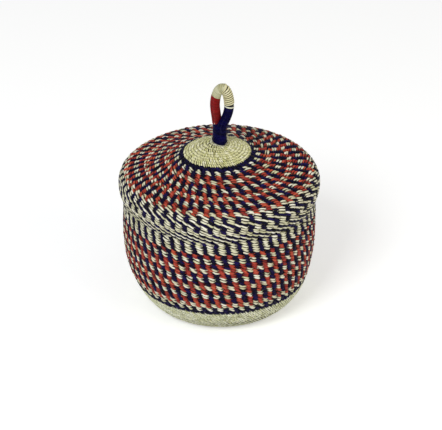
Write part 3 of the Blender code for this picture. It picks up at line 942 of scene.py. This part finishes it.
def round_stem(angle, off):
    """Points that stand off the stem's oval, and the way out there, both seen from above."""
    flat = Stem.outline(angle, off)
    return flat, unit(Stem.outline(angle, off + 1.0) - flat)


def snug(middles, steps, fill=1.12):
    """Half widths that take up fill of the room between turns."""
    least = 0.3
    gaps = np.linalg.norm(middles[steps:] - middles[:-steps], axis=1)
    ahead, behind = np.append(gaps, gaps[-steps:]), np.append(gaps[:steps], gaps)
    return np.maximum(least, (ahead + behind) / 4 * fill)


def winding(middles, up, half_width, half_height, turns, steps, sides=6, spread=0.5, lit=1.0):
    """A strand along a run of points, steps to a turn. Its tone strays by spread from turn to turn."""
    heading = heading_along(middles)
    thick = square_to(heading, up)
    count = math.ceil(turns) + 2
    tone, hue = np.clip(RNG.normal(0.0, spread, (2, count)), -1, 1)
    where = np.arange(len(middles)) / steps
    tone, hue = (np.interp(where, np.arange(count), values) for values in (tone, hue))
    wide = np.cross(thick, heading)
    return Strand(middles, wide, thick, half_width, half_height, sides, tone, lit, hue)


def wound(start, end, turns, radius, half_height, tilt=0.0, half_width=None, steps=20, sides=6):
    """A strand wound round the rod. tilt moves its turns on along the rod on the inside of the loop."""
    step = np.arange(round(turns * steps) + 1)
    turn = TAU * step / steps
    along = start + (end - start) * step / step[-1] + tilt * np.cos(turn)
    middles, up = round_rod(along, turn, radius)
    half_width = half_width or snug(middles, steps)
    return winding(middles, up, half_width, half_height, turns, steps, sides)


def oval_winding(top, bottom, turns, stand_off, half_width, half_height, first=0.0, flare=0.0, lit=1.0):
    """A strand wound round the stem. first is where it starts, in turns, and flare how far the last stands out."""
    steps = 40
    step = np.arange(round(turns * steps) + 1)
    done = step / step[-1]
    flat, out = round_stem(TAU * (step / steps + first), stand_off + flare * done ** (turns / 2))
    middles = np.column_stack([flat, top + (bottom - top) * done])
    up = np.column_stack([out, np.zeros(len(out))])
    return winding(middles, up, half_width, half_height, turns, steps, 8, 0.3, lit)


def close_stem():
    """The turns that spiral in over the stem's top, round the feet of the legs."""
    steps, rounds = 36, 3.6
    level_share, first_off, inwards = 0.22, 0.95, 5.9
    step = np.arange(round(rounds * steps) + 1)
    done = step / step[-1]
    off = first_off - inwards * np.maximum(0.0, done - level_share) / (1 - level_share)
    flat, out = round_stem(TAU * step / steps + 0.6, off)
    middles = np.column_stack([flat, STEM_TOP - 1.5 + 3.9 * np.sin(done * math.pi / 2)])
    up = unit(np.column_stack([out * (1 - 0.8 * done)[:, None], 0.25 + done]))
    return winding(middles, up, 1.25, 0.6, rounds, steps, 8)


def wind_stem():
    """The stem's turns, with thinner ones sunk between them, and the lashing of its root. Gives the root's end."""
    on_lid = LID.at(LID.reaches(0, Stem.short))[1]
    turns, height, gap = 11, 1.3, 0.3
    top, bottom = STEM_TOP, on_lid + gap
    pitch = (top - bottom) / (turns + 1)
    proud = oval_winding(
        top - pitch / 2,
        bottom + pitch / 2,
        turns,
        stand_off=gap + height / 2,
        half_width=pitch / 2 - 0.12,
        half_height=height / 2,
        flare=1.3,
    )
    # The sunk turns are painted in part shade
    sunk = oval_winding(
        top - pitch * 0.1,
        bottom,
        turns + 0.9,
        stand_off=0.45,
        half_width=0.9,
        half_height=0.5,
        first=0.1,
        flare=1.1,
        lit=0.7,
    )
    add_piece("stem_winding", [proud, sunk, close_stem()], NAVY_WRAP, "lid", ["handle_stem_wrap"])

    turns, height = 3, 1.8
    beside_stem = LID.reaches(0, Stem.long + gap + height)
    out = LID.axes(beside_stem)[1]
    under = (LID.at(beside_stem) - out * LID_THICKNESS)[1]
    pitch = (ROOT_DEPTH - gap) / (turns + 1)
    lashing = oval_winding(
        under - gap - pitch / 2,
        under - ROOT_DEPTH + pitch / 2,
        turns,
        stand_off=gap + height / 2,
        half_width=pitch / 2 - 0.2,
        half_height=height / 2,
    )
    add_piece("root_lashing", [lashing], GRASS, "lid", ["handle_lashing"])
    return under - ROOT_DEPTH


def bundle_core(bottom):
    """The stalks that the loop is bent from, and the stem and root that their ends are bound into."""
    stalks = []
    along = np.linspace(0.0, LOOP.length, 110)
    inwards, across = frames_at(along)
    ring_radius, in_ring = 2.75, 6
    for number in range(in_ring + 1):
        angle = TAU * number / in_ring
        off = inwards * math.cos(angle) + across * math.sin(angle)
        off = off * (0.0 if number == in_ring else ring_radius)
        stalks.append(rod(LOOP.at(along) + off, inwards, 1.4, 6, RNG.normal(0.0, 0.4)))

    points, row_pitch, pitch = 12, 2.3, 2.62
    for row, count in enumerate((5, 6, 7, 6, 5)):
        for place in range(count):
            x, y = Stem.at((place - (count - 1) / 2) * pitch, (row - 2) * row_pitch)
            heights = np.linspace(bottom + abs(RNG.normal(0.0, 0.5)), STEM_TOP - 2.6, points)
            sway = RNG.normal(0.0, 0.12, (2, points))
            middles = np.column_stack([x + sway[0], y + sway[1], heights])
            stalks.append(rod(middles, np.tile([*Stem.heading, 0.0], (points, 1)), 1.38, 7, RNG.normal(0.0, 0.5)))
    add_piece("core_stalks", stalks, GRASS, "lid", ["handle_core"])


FOOT_RISE, RED_RISE, NAVY_RISE = 0.6, 42.5, 26.3  # of the wraps' ends above the stem's top
BAND_HEIGHT, SLIT_HEIGHT = 2.2, 2.0
FINE_HALF = 0.9  # of a fine turn's thickness


def wind_handle():
    bundle_core(wind_stem())
    foot_left = LOOP.reaches(2, STEM_TOP + FOOT_RISE)
    red_top = LOOP.reaches(2, STEM_TOP + RED_RISE)
    coarse_start = LOOP.reaches(0, BOW_MIDDLE - 0.6)
    foot_right = LOOP.reaches(2, STEM_TOP + FOOT_RISE, last=True)
    navy_top = LOOP.reaches(2, STEM_TOP + NAVY_RISE, last=True)
    band_top = navy_top - BAND_HEIGHT
    coarse_end = band_top - SLIT_HEIGHT
    cream_start, cream_end = red_top - 0.8, coarse_start + 2.6

    for name, start, end, pitch, radius, tilt, look, node in (
        ("red_winding", foot_left, red_top - 0.3, 1.05, 5.7, -1.5, CRIMSON, "handle_red_wrap"),
        ("fine_cream_winding", cream_start, cream_end, 1.15, 5.6, -1.5, FINE_CREAM, "handle_fine_cream_wrap"),
        ("navy_winding", navy_top - 1.2, foot_right, 1.1, 5.6, 0.4, NAVY_WRAP, "handle_navy_wrap"),
    ):
        strand = wound(start, end, (end - start) / pitch, radius, FINE_HALF, tilt)
        add_piece(name, [strand], look, "lid", [node])
    wind_coarse(coarse_start, coarse_end)
    band = wound(
        band_top + 0.5,
        band_top + 0.51,
        turns=1.0,
        radius=6.0,
        half_height=0.85,
        tilt=-0.6,
        half_width=1.15,
        steps=32,
        sides=8,
    )
    add_piece("thin_band_winding", [band], WHITE, "lid", ["handle_thin_band"])
    slit = wound(
        coarse_end - 1.0, band_top + 0.4, turns=3.0, radius=5.5, half_height=0.6, tilt=-0.5, half_width=0.8
    )
    add_piece("slit_winding", [slit], BLACK, "lid", [])


def wind_coarse(start, end):
    """Nine turns over a dark underlay that shows in between."""
    turns, steps, height, fill = 9, 32, 1.9, 0.75
    pitch = (end - start) / (turns + 1)
    step = np.arange(turns * steps + 1)
    along = start + pitch * (0.5 + step / steps)
    middles, up = round_rod(along, TAU * step / steps, LEG_RADIUS + 0.65 + height / 2)
    coarse = winding(middles, up, snug(middles, steps, fill), height / 2, turns, steps, 10, 0.35)
    add_piece("coarse_cream_winding", [coarse], COARSE_CREAM, "lid", ["handle_coarse_cream_wrap"])
    under = wound(start + pitch, end, turns=(end - start) / 1.3, radius=5.1, half_height=0.4)
    add_piece("coarse_underlay", [under], BLACK, "lid", [])


def tuck_end():
    """The end of a cream strand that shows at the red leg's foot."""
    points = np.array([(-4.6, 0.6, 258.6), (-5.6, -0.4, 259.0), (-6.3, -0.8, 259.9), (-6.2, -0.4, 260.9)])
    middles = smooth_curve(points, 5)
    up = np.tile([-0.7, -0.7, 0.2], (len(middles), 1))
    taper = np.linspace(1.0, 0.6, len(middles))
    end = winding(middles, up, 0.85 * taper, 0.5 * taper, 1, len(middles))
    add_piece("tucked_end", [end], CREAM, "lid", [])


weave_basket()
weave_lid()
wind_handle()
tuck_end()


FLOOR_HALF = 8.0  # in metres
FLOOR_GLOW = 0.38  # for the camera: white where the lamps reach the floor, with the shadow left on it
ROOM_LIGHT = 0.42
LAMP_TARGET = (0.0, 0.0, 0.13)


def backdrop():
    half = FLOOR_HALF
    mesh = bpy.data.meshes.new("ground")
    mesh.from_pydata([(-half, -half, 0), (half, -half, 0), (half, half, 0), (-half, half, 0)], [], [(0, 1, 2, 3)])
    ground = bpy.data.objects.new("ground", mesh)
    bpy.context.scene.collection.objects.link(ground)
    look = bpy.data.materials.new("ground")
    look.use_nodes = True
    nodes, links = look.node_tree.nodes, look.node_tree.links
    shader = nodes["Principled BSDF"]
    shader.inputs["Roughness"].default_value = 0.9
    shader.inputs["Specular IOR Level"].default_value = 0.0
    shader.inputs["Base Color"].default_value = (0.9, 0.9, 0.9, 1.0)
    shader.inputs["Emission Color"].default_value = (1.0, 1.0, 1.0, 1.0)
    path = nodes.new("ShaderNodeLightPath")
    glow = nodes.new("ShaderNodeMath")
    glow.operation = "MULTIPLY"
    glow.inputs[1].default_value = FLOOR_GLOW
    links.new(path.outputs["Is Camera Ray"], glow.inputs[0])
    links.new(glow.outputs[0], shader.inputs["Emission Strength"])
    mesh.materials.append(look)


def lamp(name, place, size, power, colour):
    data = bpy.data.lights.new(name, "AREA")
    data.color = colour
    data.shape = "SQUARE"
    data.size = size
    data.energy = power
    made = bpy.data.objects.new(name, data)
    bpy.context.scene.collection.objects.link(made)
    made.location = place
    heading = Vector(LAMP_TARGET) - Vector(place)
    made.rotation_euler = heading.to_track_quat("-Z", "Y").to_euler()


def light():
    """A soft key from the front left, a warm fill from the right, and a room that the camera sees as white."""
    world = bpy.data.worlds.new("soft white room")
    bpy.context.scene.world = world
    world.use_nodes = True
    nodes, links = world.node_tree.nodes, world.node_tree.links
    sky = nodes["Background"]
    sky.inputs["Color"].default_value = (1, 1, 1, 1)
    path = nodes.new("ShaderNodeLightPath")
    seen = nodes.new("ShaderNodeMath")
    seen.operation = "MULTIPLY_ADD"
    seen.inputs[1].default_value = 1 - ROOM_LIGHT
    seen.inputs[2].default_value = ROOM_LIGHT
    links.new(path.outputs["Is Camera Ray"], seen.inputs[0])
    links.new(seen.outputs[0], sky.inputs["Strength"])
    lamp("key", (-1.1, -2.1, 2.2), 1.2, 49, (0.95, 0.98, 1.0))
    lamp("fill", (1.8, -1.2, 1.1), 1.6, 13, (1.0, 0.94, 0.78))


def camera():
    """Straight in front and 30 degrees above the level, as in the photograph."""
    aim = Vector((0.0023, 0.0, 0.1221))
    raised = math.radians(30.0)
    distance = 2.68
    data = bpy.data.cameras.new("camera")
    data.lens = 163.0
    data.sensor_width = 36.0
    data.clip_end = 50.0
    made = bpy.data.objects.new("camera", data)
    bpy.context.scene.collection.objects.link(made)
    made.location = aim + Vector((0.0, -math.cos(raised), math.sin(raised))) * distance
    made.rotation_euler = (aim - made.location).to_track_quat("-Z", "Y").to_euler()
    bpy.context.scene.camera = made


backdrop()
light()
camera()
bpy.context.scene.view_settings.view_transform = "Standard"
